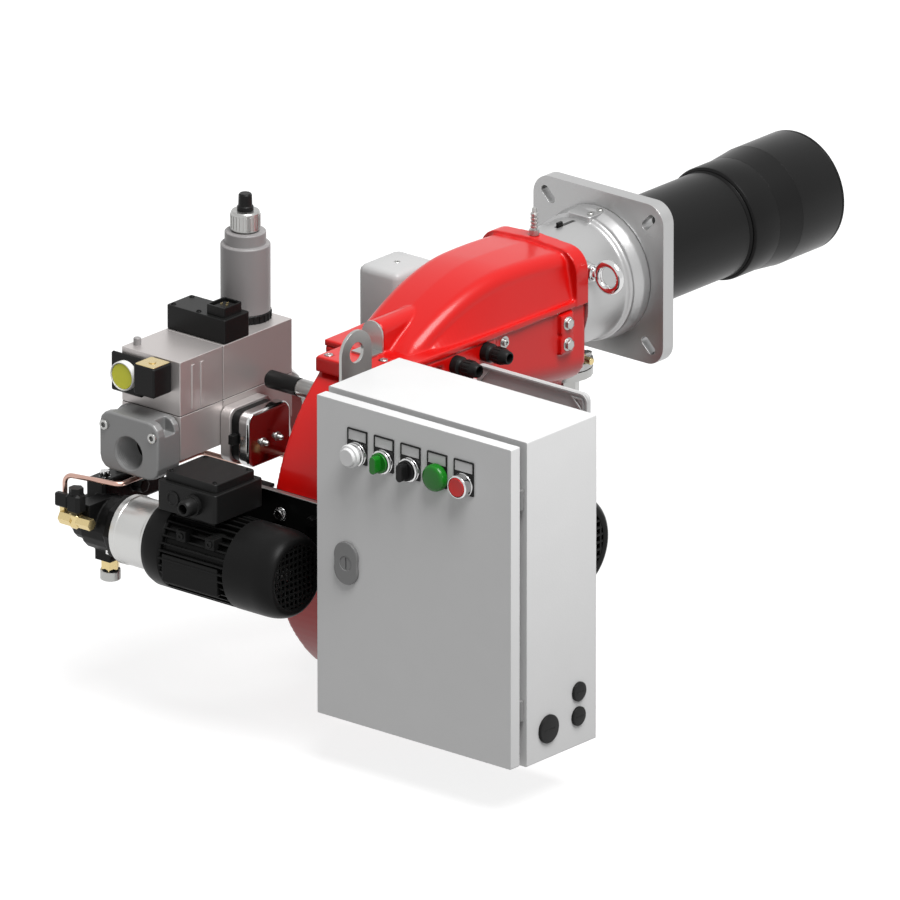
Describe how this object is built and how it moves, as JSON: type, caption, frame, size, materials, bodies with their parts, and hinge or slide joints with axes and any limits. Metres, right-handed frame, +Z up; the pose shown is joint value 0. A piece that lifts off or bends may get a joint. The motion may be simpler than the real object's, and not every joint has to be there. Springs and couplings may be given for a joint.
{
  "type": "industrial gas burner",
  "caption": "Forced-draught gas and oil burner: fan housing, blast tube on a square flange, gas valve train, oil pump with motor, and control cabinet with a hinged door.",
  "frame": {"origin": "centre of the boiler flange's mating face, on the blast tube's axis", "axes": "+Y along the blast tube towards the flame, +Z up, +X towards the control cabinet's side"},
  "size_m": [0.664, 1.044, 0.5863],
  "materials": {
    "red_paint": "saturated gloss red paint on cast aluminium",
    "grey_powder": "light grey powder coat",
    "cast_aluminium": "satin cast and machined aluminium",
    "plated_steel": "bright zinc-plated steel",
    "black_paint": "satin black paint",
    "black_plastic": "moulded black plastic",
    "grey_plastic": "moulded light grey plastic",
    "brass": "turned brass",
    "copper": "bright drawn copper pipe",
    "chrome": "polished chrome",
    "ceramic": "glazed white ceramic",
    "white_plastic": "translucent white lens",
    "green_plastic": "glossy green plastic",
    "red_plastic": "glossy red plastic",
    "yellow_dial": "matt yellow dial"
  },
  "bodies": {
    "burner": {"air_intake": "red_paint", "blast_tube": "black_paint", "boiler_flange": "cast_aluminium", "cabinet_body": "grey_powder", "cable_gland_front": "black_plastic", "cable_gland_rear": "black_plastic", "cross_plate": "black_paint", "damper_servo": "grey_plastic", "eyebolt": "chrome", "fan_housing": "red_paint", "fan_motor_cover": "black_paint", "fan_motor_frame": "black_paint", "flame_sensor": "black_plastic", "gas_inlet_flange": "cast_aluminium", "gas_pipe": "plated_steel", "gas_pressure_switch": "black_plastic", "gas_valve_block": "cast_aluminium", "head_collar": "cast_aluminium", "junction_box": "grey_plastic", "lifting_lug": "plated_steel", "mounting_plate": "plated_steel", "oil_pipe": "copper", "oil_pump": "black_paint", "oil_solenoid": "black_plastic", "oil_valve_body": "brass", "pressure_tap": "plated_steel", "pump_coupling_bell": "cast_aluminium", "pump_motor_cover": "black_paint", "pump_motor_frame": "black_paint", "pump_terminal_box": "black_plastic", "sensor_holder": "cast_aluminium", "sight_port_plate": "plated_steel", "top_cover": "red_paint", "valve_prover": "cast_aluminium", "valve_solenoid": "cast_aluminium", "valve_terminal_box": "black_plastic"},
    "cabinet_door": {"cabinet_door": "grey_powder", "reset_bezel": "chrome", "green_bezel": "chrome", "black_bezel": "chrome", "stop_bezel": "chrome", "green_lamp": "green_plastic"},
    "lock_insert": {"lock_insert": "plated_steel"},
    "reset_button": {"reset_button": "white_plastic"},
    "stop_button": {"stop_button": "red_plastic"},
    "green_selector": {"green_selector": "green_plastic"},
    "black_selector": {"black_selector": "black_plastic"},
    "combustion_head": {"gas_distributor": "plated_steel", "diffuser_disc": "plated_steel", "oil_lance": "brass", "ignition_electrodes": "ceramic", "head_pointer": "black_plastic"},
    "fan_rotor": {"fan_motor_shaft": "plated_steel", "fan_impeller": "plated_steel"},
    "pump_rotor": {"pump_motor_shaft": "plated_steel"},
    "servo_crank": {"servo_crank": "plated_steel"},
    "damper_link_rod": {"damper_link_rod": "plated_steel"},
    "air_damper": {"air_damper": "plated_steel"},
    "flow_cap": {"flow_cap": "plated_steel"},
    "pressure_dial": {"pressure_dial": "yellow_dial"}
  },
  "joints": [
    {"name": "cabinet_door_hinge", "type": "hinge", "parent": "burner", "child": "cabinet_door", "pos_m": [0.3845, -0.6193, -0.1584], "axis": [0, 0, 1], "range_deg": [0, 100]},
    {"name": "lock_turn", "type": "hinge", "parent": "cabinet_door", "child": "lock_insert", "pos_m": [0.1395, -0.6399, -0.1584], "axis": [0, 1, 0], "range_deg": [0, 90]},
    {"name": "reset_press", "type": "slide", "parent": "cabinet_door", "child": "reset_button", "axis": [0, 1, 0], "range_m": [0, 0.004], "stiffness_N_per_m": 400},
    {"name": "stop_press", "type": "slide", "parent": "cabinet_door", "child": "stop_button", "axis": [0, 1, 0], "range_m": [0, 0.004], "stiffness_N_per_m": 400},
    {"name": "green_selector_turn", "type": "hinge", "parent": "cabinet_door", "child": "green_selector", "pos_m": [0.1958, -0.6414, -0.0195], "axis": [0, 1, 0], "range_deg": [-45, 45]},
    {"name": "black_selector_turn", "type": "hinge", "parent": "cabinet_door", "child": "black_selector", "pos_m": [0.2361, -0.6414, -0.0195], "axis": [0, 1, 0], "range_deg": [-45, 45]},
    {"name": "head_adjust", "type": "slide", "parent": "burner", "child": "combustion_head", "axis": [0, 1, 0], "range_m": [0, 0.02]},
    {"name": "fan_spin", "type": "hinge", "parent": "burner", "child": "fan_rotor", "pos_m": [0, -0.329, -0.206], "axis": [1, 0, 0], "continuous": true},
    {"name": "pump_spin", "type": "hinge", "parent": "burner", "child": "pump_rotor", "pos_m": [-0.1, -0.631, -0.2], "axis": [1, 0, 0], "continuous": true},
    {"name": "servo_turn", "type": "hinge", "parent": "burner", "child": "servo_crank", "pos_m": [-0.137, -0.2605, -0.02], "axis": [1, 0, 0], "range_deg": [0, 90]},
    {"name": "link_swing", "type": "hinge", "parent": "servo_crank", "child": "damper_link_rod", "pos_m": [-0.1425, -0.2305, -0.02], "axis": [1, 0, 0], "range_deg": [-90, 0]},
    {"name": "damper_turn", "type": "hinge", "parent": "burner", "child": "air_damper", "pos_m": [-0.1123, -0.329, -0.29], "axis": [1, 0, 0], "range_deg": [0, 90]},
    {"name": "flow_cap_turn", "type": "hinge", "parent": "burner", "child": "flow_cap", "pos_m": [-0.19, -0.436, 0.12], "axis": [0, 0, 1], "range_deg": [0, 180]},
    {"name": "pressure_dial_turn", "type": "hinge", "parent": "burner", "child": "pressure_dial", "pos_m": [-0.223, -0.617, -0.019], "axis": [0, 1, 0], "range_deg": [-135, 135]}
  ],
  "couplings": [
    {"joint": "damper_turn", "follows": "servo_turn", "ratio": 1},
    {"joint": "link_swing", "follows": "servo_turn", "ratio": -1}
  ]
}
